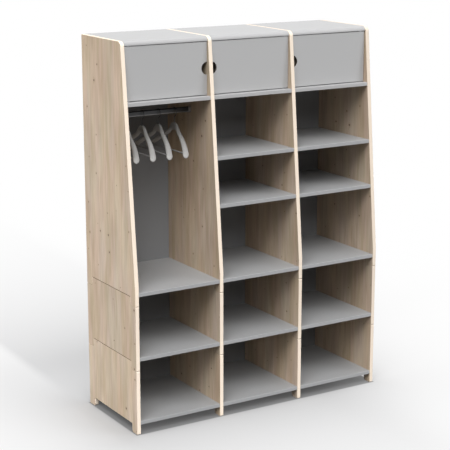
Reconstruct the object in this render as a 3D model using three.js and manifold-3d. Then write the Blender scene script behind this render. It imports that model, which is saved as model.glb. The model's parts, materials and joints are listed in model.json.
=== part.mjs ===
// A free-standing wardrobe of three bays between four tapered wooden uprights.
// Grey boards make its shelves, cabinets, doors and backs, and four hangers hang on its rail.
// Millimetres. X runs to the right, Y to the rear and Z up, from the middle of the footprint.

import * as THREE from 'three';
import Module from 'manifold-3d';
import { mergeVertices } from 'three/addons/utils/BufferGeometryUtils.js';

const wasm = await Module();
wasm.setup();

// Bays and boards
const BAY_WIDTH = 473.5;
const DEPTH = 544;
const UPRIGHT_THICKNESS = 22;
const SHELF_THICKNESS = 19;
const BACK_THICKNESS = 9;
const TOP_THICKNESS = 25;
const FIT_GAP = 0.2;

// Side panels, which stand on each other by their feet
const MODULE_HEIGHT = 340;
const FOOT_HEIGHT = 46.6;
const FRONT_FOOT_WIDTH = 54;
const REAR_FOOT_WIDTH = 63;
const TAB_GAP = 0.5;
const FOOT_CORNER_RADIUS = 15;
const TAB_CORNER_RADIUS = 5;
const SEAM_CORNER_RADIUS = 5;
const ARRIS_RADIUS = 2.5;
const SLANT_START = 788;
const TOP_SETBACK = 114.8;
const TOP_CORNER_RADIUS = 30;

// Shelves
const SHELF_LIFT = 4.4;
const SHELF_INSET = 1;
const SHELF_ARRIS = 1.5;
const LOWER_OPEN_GAP = 369.6;
const MIDDLE_OPEN_GAP = 227.7;
const UPPER_OPEN_GAP = 291.3;

// Cabinets along the top and their doors
const CABINET_CLEAR_HEIGHT = 275.4;
const TOP_PANEL_INSET = 3;
const TOP_PANEL_NOSE_RADIUS = 22;
const DOOR_INSET = 6;
const DOOR_THICKNESS = 19;
const DOOR_SIDE_GAP = 1.5;
const DOOR_BOTTOM_GAP = 3.8;
const DOOR_TOP_GAP = 3;
const DOOR_HINGE_EDGE_RADIUS = 2.5;
const FINGER_NOTCH_RADIUS = 32;

// Pivots that the doors turn on
const PIVOT_INSET = 24;
const PIVOT_RADIUS = 4;
const PIVOT_COLLAR_RADIUS = 7;
const PIVOT_SEAT_DEPTH = 10;
const PIVOT_DOOR_DEPTH = 12;
const PIVOT_PLAY = 0.3;

// Clothes rail
const RAIL_HEIGHT = 30;
const RAIL_WIDTH = 15;
const RAIL_WALL = 1.5;
const RAIL_DROP = 73.6;
const RAIL_REARWARD = 23;
const SOCKET_WALL = 2;
const SOCKET_FLOOR = 2.5;
const SOCKET_DEPTH = 14;
const SOCKET_PLAY = 0.3;

// Hangers
const HANGER_COUNT = 4;
const HANGER_END_GAP = 35;
const HANGER_NECK_BELOW_HOOK = 57.3;
const HANGER_SWEEP = 50;
const SHOULDER_TIP_RADIUS = 18;
const SHOULDER_NECK_HALF_THICKNESS = 9;
const SHOULDER_TIP_HALF_THICKNESS = 18.5;
const SHOULDER_NECK_HALF_HEIGHT = 20;
const SHOULDER_ARM_HALF_HEIGHT = 12;
const SHOULDER_NECK_HALF_LENGTH = 36;
const SHOULDER_NECK_RISE = 14;
const SHOULDER_DROP = 122;
const SHOULDER_ROUNDING = 0.15;
const HOOK_WIRE_RADIUS = 2;
const HOOK_RAIL_CLEARANCE = 5;
const HOOK_BEND_RADIUS = 12;
const HOOK_TIP_BELOW_LEVEL = THREE.MathUtils.degToRad(20);
const HOOK_SEAT_DEPTH = 15;
const BAR_RADIUS = 3.5;
const BAR_END_INSET = 20;
const HANGER_PLAY = 0.3;

// Facets
const ARC_SEGMENTS = 4;
const ARRIS_SEGMENTS = 1;
const NOTCH_SEGMENTS = 48;
const PIVOT_SEGMENTS = 16;
const WIRE_SIDES = 6;
const HOOK_STEPS = 30;
const BAR_SIDES = 12;
const SHOULDER_SIDES = 10;
const SHOULDER_STATIONS = 24;
const SHOULDER_CROWDING = 0.6;

// Heights, worked out from the floor up
const bayPitch = BAY_WIDTH + UPRIGHT_THICKNESS;
const lowShelves = [0, 1, 2].map((module) => module * MODULE_HEIGHT + FOOT_HEIGHT + SHELF_LIFT);
const openShelf = lowShelves[2] + SHELF_THICKNESS + LOWER_OPEN_GAP;
const upperOpenShelf = openShelf + SHELF_THICKNESS + MIDDLE_OPEN_GAP;
const cabinetFloor = upperOpenShelf + SHELF_THICKNESS + UPPER_OPEN_GAP;
const cabinetFloorTop = cabinetFloor + SHELF_THICKNESS;
const topUnderside = cabinetFloorTop + CABINET_CLEAR_HEIGHT;
const totalHeight = topUnderside + TOP_THICKNESS;

const bays = ['left', 'middle', 'right'];
const uprights = ['left', 'inner_left', 'inner_right', 'right'];
const totalWidth = bays.length * bayPitch + UPRIGHT_THICKNESS;
const backFront = DEPTH - BACK_THICKNESS;
const doorFront = TOP_SETBACK + DOOR_INSET;
const pivotY = doorFront + DOOR_THICKNESS / 2;
const railY = DEPTH / 2 + RAIL_REARWARD;
const railZ = cabinetFloor - RAIL_DROP;

// Finishes
const finishes = {
  wood: { color: 0xd9c3a3, roughness: 0.6, metalness: 0 },
  greyBoard: { color: 0xb4b4b2, roughness: 0.5, metalness: 0 },
  backBoard: { color: 0x8f8d8a, roughness: 0.7, metalness: 0 },
  railMetal: { color: 0x6a6a6c, roughness: 0.35, metalness: 1 },
  pivotSteel: { color: 0xb9babc, roughness: 0.3, metalness: 1 },
  hookWire: { color: 0x5a5a5c, roughness: 0.3, metalness: 1 },
  hangerShell: { color: 0xa8a6a3, roughness: 0.5, metalness: 0 },
};

// Leftmost x of a bay's clear width, measured from the outer face of the left upright.
function bayStart(bay) {
  return UPRIGHT_THICKNESS + bay * bayPitch;
}

// How far the uprights' front edge lies behind the foot's front edge at a height.
function frontLine(height) {
  const slope = TOP_SETBACK / (totalHeight - SLANT_START);
  return Math.max(0, height - SLANT_START) * slope;
}

// A closed outline through corners [x, y, radius], with an arc at each that has a radius.
// Where the first corner is plain, the second is plain too.
function roundedShape(corners) {
  const shape = new THREE.Shape();
  corners.forEach(([x, y, radius], index) => {
    if (!radius) {
      if (index === 0) shape.moveTo(x, y);
      else shape.lineTo(x, y);
      return;
    }
    const corner = new THREE.Vector2(x, y);
    const [beforeX, beforeY] = corners.at(index - 1);
    const [afterX, afterY] = corners[(index + 1) % corners.length];
    const toBefore = new THREE.Vector2(beforeX, beforeY).sub(corner).normalize();
    const toAfter = new THREE.Vector2(afterX, afterY).sub(corner).normalize();
    const halfAngle = toBefore.angleTo(toAfter) / 2;
    const reach = radius / Math.tan(halfAngle);
    const start = corner.clone().addScaledVector(toBefore, reach);
    const end = corner.clone().addScaledVector(toAfter, reach);
    const bisector = toBefore.clone().add(toAfter).normalize();
    const centre = corner.clone().addScaledVector(bisector, radius / Math.sin(halfAngle));
    const startAngle = start.sub(centre).angle();
    const endAngle = end.sub(centre).angle();
    shape.absarc(centre.x, centre.y, radius, startAngle, endAngle, toBefore.cross(toAfter) > 0);
  });
  return shape;
}

// An outline drawn in Y and Z, extruded to the right over a length.
function extrudeAlongX(shape, length) {
  const geometry = new THREE.ExtrudeGeometry(shape, {
    depth: length,
    bevelEnabled: false,
    curveSegments: ARC_SEGMENTS,
  });
  return geometry.applyMatrix4(sideViewToSpace());
}

// The turn that takes an outline's x to Y, its y to Z and its depth to X.
function sideViewToSpace() {
  return new THREE.Matrix4().makeBasis(
    new THREE.Vector3(0, 1, 0),
    new THREE.Vector3(0, 0, 1),
    new THREE.Vector3(1, 0, 0),
  );
}

// A board with an outline in Y and Z, as thick as an upright, all its arrises rounded.
function uprightBoard(corners) {
  const geometry = new THREE.ExtrudeGeometry(roundedShape(corners), {
    depth: UPRIGHT_THICKNESS - 2 * ARRIS_RADIUS,
    bevelEnabled: true,
    bevelThickness: ARRIS_RADIUS,
    bevelSize: ARRIS_RADIUS,
    bevelOffset: -ARRIS_RADIUS,
    bevelSegments: ARRIS_SEGMENTS,
    curveSegments: ARC_SEGMENTS,
  });
  return geometry.translate(0, 0, ARRIS_RADIUS).applyMatrix4(sideViewToSpace());
}

// The lower edge of every side panel: two rounded feet, with a low gap between them.
function footCorners() {
  const rearFoot = DEPTH - REAR_FOOT_WIDTH;
  return [
    [0, 0, SEAM_CORNER_RADIUS],
    [FRONT_FOOT_WIDTH, 0, FOOT_CORNER_RADIUS],
    [FRONT_FOOT_WIDTH, FOOT_HEIGHT, TAB_CORNER_RADIUS],
    [rearFoot, FOOT_HEIGHT, TAB_CORNER_RADIUS],
    [rearFoot, 0, FOOT_CORNER_RADIUS],
    [DEPTH, 0, SEAM_CORNER_RADIUS],
  ];
}

// A stacking side panel, with a tab on top that fills the gap between the next panel's feet.
function stackingPanel() {
  const notchFloor = MODULE_HEIGHT - FIT_GAP;
  const tabTop = MODULE_HEIGHT + FOOT_HEIGHT - FIT_GAP;
  const tabFront = FRONT_FOOT_WIDTH + TAB_GAP;
  const tabRear = DEPTH - REAR_FOOT_WIDTH - TAB_GAP;
  return uprightBoard([
    ...footCorners(),
    [DEPTH, notchFloor, SEAM_CORNER_RADIUS],
    [tabRear, notchFloor, FOOT_CORNER_RADIUS],
    [tabRear, tabTop, TAB_CORNER_RADIUS],
    [tabFront, tabTop, TAB_CORNER_RADIUS],
    [tabFront, notchFloor, FOOT_CORNER_RADIUS],
    [0, notchFloor, SEAM_CORNER_RADIUS],
  ]);
}

// The tall upper side panel, whose front edge leans back to a rounded top corner.
function tallPanel() {
  const base = 2 * MODULE_HEIGHT;
  return uprightBoard([
    ...footCorners(),
    [DEPTH, totalHeight - base],
    [TOP_SETBACK, totalHeight - base, TOP_CORNER_RADIUS],
    [0, SLANT_START - base],
  ]);
}

// A shelf between two uprights, its front edge just behind theirs.
function shelfBoard(underside) {
  const top = underside + SHELF_THICKNESS;
  const front = frontLine(top) + SHELF_INSET;
  const outline = roundedShape([
    [front, underside, SHELF_ARRIS],
    [backFront - FIT_GAP, underside],
    [backFront - FIT_GAP, top],
    [front, top, SHELF_ARRIS],
  ]);
  return extrudeAlongX(outline, BAY_WIDTH - 2 * FIT_GAP);
}

// The top of a cabinet, rounded over its front edge.
function topBoard() {
  const front = TOP_SETBACK + TOP_PANEL_INSET;
  const outline = roundedShape([
    [front, topUnderside, SHELF_ARRIS],
    [DEPTH, topUnderside],
    [DEPTH, totalHeight],
    [front, totalHeight, TOP_PANEL_NOSE_RADIUS],
  ]);
  return extrudeAlongX(outline, BAY_WIDTH - 2 * FIT_GAP);
}

// The thin back of a bay, from its lowest shelf to the underside of its top.
function backBoard() {
  const bottom = lowShelves[0];
  const outline = roundedShape([
    [backFront, bottom],
    [DEPTH, bottom],
    [DEPTH, topUnderside - FIT_GAP],
    [backFront, topUnderside - FIT_GAP],
  ]);
  return extrudeAlongX(outline, BAY_WIDTH - 2 * FIT_GAP);
}

// A solid for cutting and joining, from a closed geometry.
function toSolid(geometry) {
  const bare = geometry.clone();
  bare.deleteAttribute('normal');
  bare.deleteAttribute('uv');
  const merged = mergeVertices(bare);
  const vertProperties = new Float32Array(merged.attributes.position.array);
  const triVerts = new Uint32Array(merged.index.array);
  return new wasm.Manifold(new wasm.Mesh({ numProp: 3, vertProperties, triVerts }));
}

// A geometry from a solid.
function toGeometry(solid) {
  const { vertProperties, triVerts } = solid.getMesh();
  const geometry = new THREE.BufferGeometry();
  geometry.setAttribute('position', new THREE.BufferAttribute(vertProperties, 3));
  geometry.setIndex(new THREE.BufferAttribute(triVerts, 1));
  geometry.computeVertexNormals();
  return geometry;
}

// An upright round bore between two heights.
function uprightBore(x, y, bottom, top, radius) {
  const geometry = new THREE.CylinderGeometry(radius, radius, top - bottom, PIVOT_SEGMENTS);
  geometry.rotateX(Math.PI / 2);
  return toSolid(geometry.translate(x, y, (top + bottom) / 2));
}

// The x of a door's pivot from the start of its bay, hinged on the left or on the right.
function pivotX(hingedLeft) {
  const inset = DOOR_SIDE_GAP + PIVOT_INSET;
  return hingedLeft ? inset : BAY_WIDTH - inset;
}

// A board of a cabinet with the seat of a pivot bored in it, sinking down from seatTop.
function boredBoard(geometry, hingedLeft, seatBottom, seatTop) {
  const x = pivotX(hingedLeft) - FIT_GAP;
  const bore = uprightBore(x, pivotY, seatBottom, seatTop, PIVOT_RADIUS + PIVOT_PLAY);
  return toGeometry(toSolid(geometry).subtract(bore));
}

// The floor of a cabinet, with the seat of the door's lower pivot.
function cabinetFloorBoard(hingedLeft) {
  const seatBottom = cabinetFloorTop - PIVOT_SEAT_DEPTH - PIVOT_PLAY;
  const seatTop = cabinetFloorTop + SHELF_THICKNESS;
  return boredBoard(shelfBoard(cabinetFloor), hingedLeft, seatBottom, seatTop);
}

// The top of a cabinet, with the seat of the door's upper pivot.
function cabinetTopBoard(hingedLeft) {
  const seatBottom = topUnderside - TOP_THICKNESS;
  const seatTop = topUnderside + PIVOT_SEAT_DEPTH + PIVOT_PLAY;
  return boredBoard(topBoard(), hingedLeft, seatBottom, seatTop);
}

// A door with a finger notch in its free edge and a bore at each end of its hinge edge.
function doorBoard(hingedLeft) {
  const left = DOOR_SIDE_GAP;
  const right = BAY_WIDTH - DOOR_SIDE_GAP;
  const rear = doorFront + DOOR_THICKNESS;
  const bottom = cabinetFloorTop + DOOR_BOTTOM_GAP;
  const top = topUnderside - DOOR_TOP_GAP;
  const edgeRadius = (onLeft) => (onLeft === hingedLeft ? DOOR_HINGE_EDGE_RADIUS : SHELF_ARRIS);
  const plan = roundedShape([
    [left, doorFront, edgeRadius(true)],
    [right, doorFront, edgeRadius(false)],
    [right, rear],
    [left, rear],
  ]);
  const slab = new THREE.ExtrudeGeometry(plan, {
    depth: top - bottom,
    bevelEnabled: false,
    curveSegments: ARC_SEGMENTS,
  });
  const notch = new THREE.CylinderGeometry(
    FINGER_NOTCH_RADIUS, FINGER_NOTCH_RADIUS, 2 * DOOR_THICKNESS, NOTCH_SEGMENTS,
  );
  notch.translate(hingedLeft ? right : left, pivotY, (top + bottom) / 2);
  const boreRadius = PIVOT_RADIUS + PIVOT_PLAY;
  const boreDepth = PIVOT_DOOR_DEPTH + PIVOT_PLAY;
  const x = pivotX(hingedLeft);
  const lowerBore = uprightBore(x, pivotY, bottom - boreDepth, bottom + boreDepth, boreRadius);
  const upperBore = uprightBore(x, pivotY, top - boreDepth, top + boreDepth, boreRadius);
  const door = toSolid(slab.translate(0, 0, bottom));
  return toGeometry(door.subtract(toSolid(notch)).subtract(lowerBore).subtract(upperBore));
}

// A pivot pin whose collar fills the gap of a door, with its long end in the door.
function pivotPin(gap) {
  const collar = gap - 2 * PIVOT_PLAY;
  const profile = [
    [0, -PIVOT_SEAT_DEPTH],
    [PIVOT_RADIUS, -PIVOT_SEAT_DEPTH],
    [PIVOT_RADIUS, 0],
    [PIVOT_COLLAR_RADIUS, 0],
    [PIVOT_COLLAR_RADIUS, collar],
    [PIVOT_RADIUS, collar],
    [PIVOT_RADIUS, collar + PIVOT_DOOR_DEPTH],
    [0, collar + PIVOT_DOOR_DEPTH],
  ];
  const points = profile.map(([radius, height]) => new THREE.Vector2(radius, height));
  return new THREE.LatheGeometry(points, PIVOT_SEGMENTS).rotateX(Math.PI / 2);
}

// An upright oval: a rectangle with a half round above and below.
function ovalShape(width, height) {
  const radius = width / 2;
  const straight = height / 2 - radius;
  const shape = new THREE.Shape();
  shape.absarc(0, straight, radius, 0, Math.PI);
  shape.absarc(0, -straight, radius, Math.PI, 2 * Math.PI);
  return shape;
}

// The oval rail tube, between the floors of its two sockets.
function railTube() {
  const outline = ovalShape(RAIL_WIDTH, RAIL_HEIGHT);
  outline.holes.push(ovalShape(RAIL_WIDTH - 2 * RAIL_WALL, RAIL_HEIGHT - 2 * RAIL_WALL));
  return extrudeAlongX(outline, BAY_WIDTH - 2 * (FIT_GAP + SOCKET_FLOOR + SOCKET_PLAY));
}

// A cup that holds the left end of the rail, its floor against the upright.
function railSocket() {
  const rim = 2 * (SOCKET_WALL + SOCKET_PLAY);
  const play = 2 * SOCKET_PLAY;
  const cup = extrudeAlongX(ovalShape(RAIL_WIDTH + rim, RAIL_HEIGHT + rim), SOCKET_DEPTH);
  const hollow = extrudeAlongX(ovalShape(RAIL_WIDTH + play, RAIL_HEIGHT + play), SOCKET_DEPTH);
  hollow.translate(SOCKET_FLOOR, 0, 0);
  return toGeometry(toSolid(cup).subtract(toSolid(hollow)));
}

// A hanger's own origin is the centre of the round of its hook.
const hookInnerRadius = RAIL_HEIGHT / 2 + HOOK_RAIL_CLEARANCE;
const hookRadius = hookInnerRadius + HOOK_WIRE_RADIUS;
const hookCentreZ = railZ + RAIL_HEIGHT / 2 + HANGER_PLAY - hookInnerRadius;
const hangerHalfLength = backFront - railY - HANGER_END_GAP;

// The centre line of a hook: up its stem, round a small bend, then round in front of the rail.
class HookLine extends THREE.Curve {
  constructor() {
    super();
    const reach = hookRadius + HOOK_BEND_RADIUS;
    this.bendAngle = Math.acos(HOOK_BEND_RADIUS / reach);
    this.stemTop = -reach * Math.sin(this.bendAngle);
    this.stemBottom = -HANGER_NECK_BELOW_HOOK - HOOK_SEAT_DEPTH;
    this.roundAngle = Math.PI + this.bendAngle + HOOK_TIP_BELOW_LEVEL;
    this.stemLength = this.stemTop - this.stemBottom;
    this.bendLength = HOOK_BEND_RADIUS * this.bendAngle;
    this.roundLength = hookRadius * this.roundAngle;
  }

  getPoint(share, target = new THREE.Vector3()) {
    const total = this.stemLength + this.bendLength + this.roundLength;
    const along = share * total;
    if (along <= this.stemLength) {
      return target.set(0, 0, this.stemBottom + along);
    }
    if (along <= this.stemLength + this.bendLength) {
      const angle = (along - this.stemLength) / HOOK_BEND_RADIUS;
      const y = HOOK_BEND_RADIUS * (Math.cos(angle) - 1);
      return target.set(0, y, this.stemTop + HOOK_BEND_RADIUS * Math.sin(angle));
    }
    const turned = (along - this.stemLength - this.bendLength) / hookRadius;
    const angle = Math.PI + this.bendAngle - turned;
    return target.set(0, hookRadius * Math.cos(angle), hookRadius * Math.sin(angle));
  }
}

// The bent wire of a hook.
function hookWire() {
  const section = new THREE.Shape();
  section.absarc(0, 0, HOOK_WIRE_RADIUS, 0, 2 * Math.PI);
  return new THREE.ExtrudeGeometry(section, {
    steps: HOOK_STEPS,
    curveSegments: WIRE_SIDES / 2,
    extrudePath: new HookLine(),
    bevelEnabled: false,
  });
}

// The shape of the shoulders at a signed distance along them: a flat-topped neck, then arms
// that fall away, sweep to one side and end in round tips.
function shoulderSection(y) {
  const distance = Math.abs(y);
  const share = distance / hangerHalfLength;
  const neck = Math.exp(-((distance / SHOULDER_NECK_HALF_LENGTH) ** 4));
  const intoTip = Math.max(0, distance - hangerHalfLength + SHOULDER_TIP_RADIUS);
  const tipRound = Math.sqrt(Math.max(0.1, 1 - (intoTip / SHOULDER_TIP_RADIUS) ** 2));
  const halfThickness = THREE.MathUtils.lerp(
    SHOULDER_NECK_HALF_THICKNESS, SHOULDER_TIP_HALF_THICKNESS, share,
  );
  const halfHeight = THREE.MathUtils.lerp(SHOULDER_ARM_HALF_HEIGHT, SHOULDER_NECK_HALF_HEIGHT, neck);
  const bend = (1 - SHOULDER_ROUNDING) * share + SHOULDER_ROUNDING * share ** 3;
  const armFall = SHOULDER_NECK_RISE + SHOULDER_DROP * bend;
  return {
    x: -HANGER_SWEEP * share ** 2,
    z: -HANGER_NECK_BELOW_HOOK - armFall * (1 - neck) - halfHeight,
    halfThickness: halfThickness * tipRound,
    halfHeight: halfHeight * tipRound,
  };
}

const barHalfLength = hangerHalfLength - BAR_END_INSET;
const barSeat = shoulderSection(barHalfLength);

// A round bar along Y between the two ends of the shoulders.
function crossBar(halfLength, radius) {
  const geometry = new THREE.CylinderGeometry(radius, radius, 2 * halfLength, BAR_SIDES);
  return geometry.translate(barSeat.x, 0, barSeat.z);
}

// Curved shoulders, bored for the hook's stem and for the ends of the bar.
function shoulders() {
  const body = new THREE.CylinderGeometry(1, 1, 2, SHOULDER_SIDES, SHOULDER_STATIONS);
  const position = body.attributes.position;
  for (let index = 0; index < position.count; index += 1) {
    const station = position.getY(index);
    const crowding = (SHOULDER_CROWDING * Math.sin(2 * Math.PI * station)) / (2 * Math.PI);
    const y = hangerHalfLength * (station - crowding);
    const section = shoulderSection(y);
    const x = section.x + section.halfThickness * position.getX(index);
    const z = section.z + section.halfHeight * position.getZ(index);
    position.setXYZ(index, x, y, z);
  }
  const stemBottom = -HANGER_NECK_BELOW_HOOK - HOOK_SEAT_DEPTH - HANGER_PLAY;
  const stemBore = uprightBore(0, 0, stemBottom, 0, HOOK_WIRE_RADIUS + HANGER_PLAY);
  const barBore = toSolid(crossBar(barHalfLength + HANGER_PLAY, BAR_RADIUS + HANGER_PLAY));
  return toGeometry(toSolid(body).subtract(stemBore).subtract(barBore));
}

// All pieces stand in a group measured from the front left foot.
const carcass = new THREE.Group();
carcass.position.set(-totalWidth / 2, -DEPTH / 2, 0);

function addPiece(name, geometry, finish, position = [0, 0, 0]) {
  const mesh = new THREE.Mesh(geometry, new THREE.MeshStandardMaterial(finishes[finish]));
  mesh.name = name;
  mesh.position.set(...position);
  carcass.add(mesh);
  return mesh;
}

const stacking = stackingPanel();
const tall = tallPanel();
uprights.forEach((side, index) => {
  const x = index * bayPitch;
  addPiece(`${side}_side_lower_panel`, stacking, 'wood', [x, 0, 0]);
  addPiece(`${side}_side_middle_panel`, stacking, 'wood', [x, 0, MODULE_HEIGHT]);
  addPiece(`${side}_side_upper_panel`, tall, 'wood', [x, 0, 2 * MODULE_HEIGHT]);
});

bays.forEach((bay, index) => {
  const isWardrobeBay = index === 0;
  const hingedLeft = index === 0;
  const start = bayStart(index);
  const boardStart = [start + FIT_GAP, 0, 0];
  const levels = isWardrobeBay ? lowShelves : [...lowShelves, openShelf, upperOpenShelf];
  levels.forEach((level, step) => {
    addPiece(`${bay}_bay_shelf_${step + 1}`, shelfBoard(level), 'greyBoard', boardStart);
  });
  addPiece(`${bay}_back_panel`, backBoard(), 'backBoard', boardStart);
  addPiece(`${bay}_cabinet_floor`, cabinetFloorBoard(hingedLeft), 'greyBoard', boardStart);
  addPiece(`${bay}_top_panel`, cabinetTopBoard(hingedLeft), 'greyBoard', boardStart);
  addPiece(`${bay}_door`, doorBoard(hingedLeft), 'greyBoard', [start, 0, 0]);

  const x = start + pivotX(hingedLeft);
  const lowerSeat = [x, pivotY, cabinetFloorTop + PIVOT_PLAY];
  const upperSeat = [x, pivotY, topUnderside - PIVOT_PLAY];
  addPiece(`${bay}_door_lower_pivot`, pivotPin(DOOR_BOTTOM_GAP), 'pivotSteel', lowerSeat);
  const upper = addPiece(`${bay}_door_upper_pivot`, pivotPin(DOOR_TOP_GAP), 'pivotSteel', upperSeat);
  upper.rotation.x = Math.PI;
});

const railStart = bayStart(0) + FIT_GAP;
const railEnd = bayStart(0) + BAY_WIDTH - FIT_GAP;
const railInset = SOCKET_FLOOR + SOCKET_PLAY;
addPiece('clothes_rail', railTube(), 'railMetal', [railStart + railInset, railY, railZ]);
addPiece('rail_left_socket', railSocket(), 'railMetal', [railStart, railY, railZ]);
const rightSocket = addPiece('rail_right_socket', railSocket(), 'railMetal', [railEnd, railY, railZ]);
rightSocket.rotation.z = Math.PI;

for (let hanger = 1; hanger <= HANGER_COUNT; hanger += 1) {
  const x = bayStart(0) + (hanger * BAY_WIDTH) / (HANGER_COUNT + 1);
  const place = [x, railY, hookCentreZ];
  addPiece(`hanger_${hanger}_shoulders`, shoulders(), 'hangerShell', place);
  addPiece(`hanger_${hanger}_bar`, crossBar(barHalfLength, BAR_RADIUS), 'hangerShell', place);
  addPiece(`hanger_${hanger}_hook`, hookWire(), 'hookWire', place);
}

const wardrobe = new THREE.Group();
wardrobe.add(carcass);

export default wardrobe;
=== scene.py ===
"""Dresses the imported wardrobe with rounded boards, doors, a rail and hangers, and their finishes.

It is laid out as an add-on and run as a script. Lengths are in metres, in the CAD frame:
X runs to the right, Y to the rear and Z up, from the middle of the footprint.
"""

import itertools
import json
import math

import bmesh
import bpy
from bpy.props import FloatProperty, FloatVectorProperty, PointerProperty
from mathutils import Matrix, Vector


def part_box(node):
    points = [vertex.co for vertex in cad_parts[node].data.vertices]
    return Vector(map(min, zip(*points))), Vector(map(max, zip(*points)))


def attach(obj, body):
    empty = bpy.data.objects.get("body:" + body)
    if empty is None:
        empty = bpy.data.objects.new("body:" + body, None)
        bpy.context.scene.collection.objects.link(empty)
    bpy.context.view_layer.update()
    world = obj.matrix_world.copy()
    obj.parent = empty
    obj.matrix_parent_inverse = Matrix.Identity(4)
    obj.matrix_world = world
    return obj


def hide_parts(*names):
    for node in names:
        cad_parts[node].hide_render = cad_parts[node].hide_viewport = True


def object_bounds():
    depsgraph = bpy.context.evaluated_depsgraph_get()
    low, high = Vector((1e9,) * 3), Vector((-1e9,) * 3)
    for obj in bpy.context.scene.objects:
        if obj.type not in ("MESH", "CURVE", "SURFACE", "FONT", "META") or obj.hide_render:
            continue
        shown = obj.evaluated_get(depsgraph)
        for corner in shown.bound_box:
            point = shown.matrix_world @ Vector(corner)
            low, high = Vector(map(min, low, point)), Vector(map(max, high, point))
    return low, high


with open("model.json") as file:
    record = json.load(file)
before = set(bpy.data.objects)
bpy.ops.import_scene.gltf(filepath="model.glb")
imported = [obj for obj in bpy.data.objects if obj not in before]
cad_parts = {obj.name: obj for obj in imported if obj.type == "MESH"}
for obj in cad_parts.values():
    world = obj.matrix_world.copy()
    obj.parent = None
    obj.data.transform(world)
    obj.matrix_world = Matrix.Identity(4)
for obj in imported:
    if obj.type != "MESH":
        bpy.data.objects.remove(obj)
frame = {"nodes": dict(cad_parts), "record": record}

bl_info = {
    "name": "Wardrobe dressing",
    "version": (1, 0, 0),
    "blender": (4, 5, 0),
    "location": "3D View > Sidebar > Wardrobe",
    "description": "Builds the boards, doors, rail and hangers of a wardrobe, with their finishes",
    "category": "Object",
}

MM = 0.001
TOUCH = 0.01 * MM
WHITE = (1, 1, 1, 1)
RIGHT = Vector((1, 0, 0))
REARWARD = Vector((0, 1, 0))
UP = Vector((0, 0, 1))
# Lays what stands upright along Y
UPRIGHT_TO_LYING = Matrix.Rotation(math.pi / 2, 4, "X")

# Painted light: the lower boards are made lighter for the light that the floor throws back on them
LEVEL_PAINTED_LIGHT = {"lower": 1.13, "middle": 0.985, "upper": 1}
# Painted light: each upright's boards and narrow faces get darker from left to right, for the light
# from the left
SIDE_PAINTED_LIGHT = {"left": 1, "inner_left": 0.95, "inner_right": 0.92, "right": 0.9}
EDGE_PAINTED_LIGHT = {"left": 1.03, "inner_left": 1, "inner_right": 0.93, "right": 0.86}
SHELVES_IN_BAY = {"left": 3, "middle": 5, "right": 5}
BAYS = tuple(SHELVES_IN_BAY)
HINGED_LEFT = {"left": True, "middle": False, "right": False}
HANGERS = (1, 2, 3, 4)
BODIES = frame["record"]["behaviour"]["bodies"]
BODY_OF = {node: body for body, nodes in BODIES.items() for node in nodes}
CAD_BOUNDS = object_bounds()

# Facets of the rounds
CORNER_SEGMENTS = 8
ARRIS_SEGMENTS = 3
FINE_ARRIS_SEGMENTS = 2
NOTCH_SEGMENTS = 32
OVAL_SEGMENTS = 16
WIRE_SEGMENTS = 12
BEND_SEGMENTS = 10
ROUND_SEGMENTS = 36
BAR_SEGMENTS = 24
SHOULDER_SEGMENTS = 24
SHOULDER_STATIONS = 56

# Turns from which an edge is rounded, and from which it is shaded sharp
SHARP_TURN = math.radians(45)
SMOOTH_TURN = math.radians(38)

# Heights above the rail's underside where its painted highlight begins to blend and has blended in
HIGHLIGHT_START = 5 * MM
HIGHLIGHT_END = 9 * MM

# A face looks along an axis from this part of its normal on
FACING = 0.5
SEAM_FACING = 0.3

# Lamps and camera, each square lamp with its width
LAMP_TARGET = Vector((0, 0, 1))
SUN_SPREAD = math.radians(35)
SUN_PLACES = {
    "key": Vector((-4.9, -4.1, 8.7)),
    "front": Vector((-2, -7.4, 7.4)),
    "fill": Vector((7.2, -6, 4.4)),
}
LAMP_PLACES = {
    "over": (Vector((0, 0.5, 8)), 3),
    "left_fill": (Vector((-5, 1.2, 0.8)), 2),
    "rear_fill": (Vector((2.5, 6, 0.9)), 2),
}
CAMERA_PLACE = Vector((-3.82445, -6.1163, 2.7087))
CAMERA_DOWNWARD = math.radians(13.675)
CAMERA_TO_THE_RIGHT = math.radians(31.609)


def number(name, description, default, unit="NONE"):
    """A number that a user may change."""
    return FloatProperty(name=name, description=description, default=default, min=0, unit=unit)


def length(name, description, millimetres):
    """A length that a user may change."""
    return number(name, description, millimetres * MM, "LENGTH")


def colour(name, description, default):
    """A linear colour that a user may change."""
    return FloatVectorProperty(
        name=name, description=description, default=default, size=3, min=0, max=1, subtype="COLOR"
    )


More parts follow.
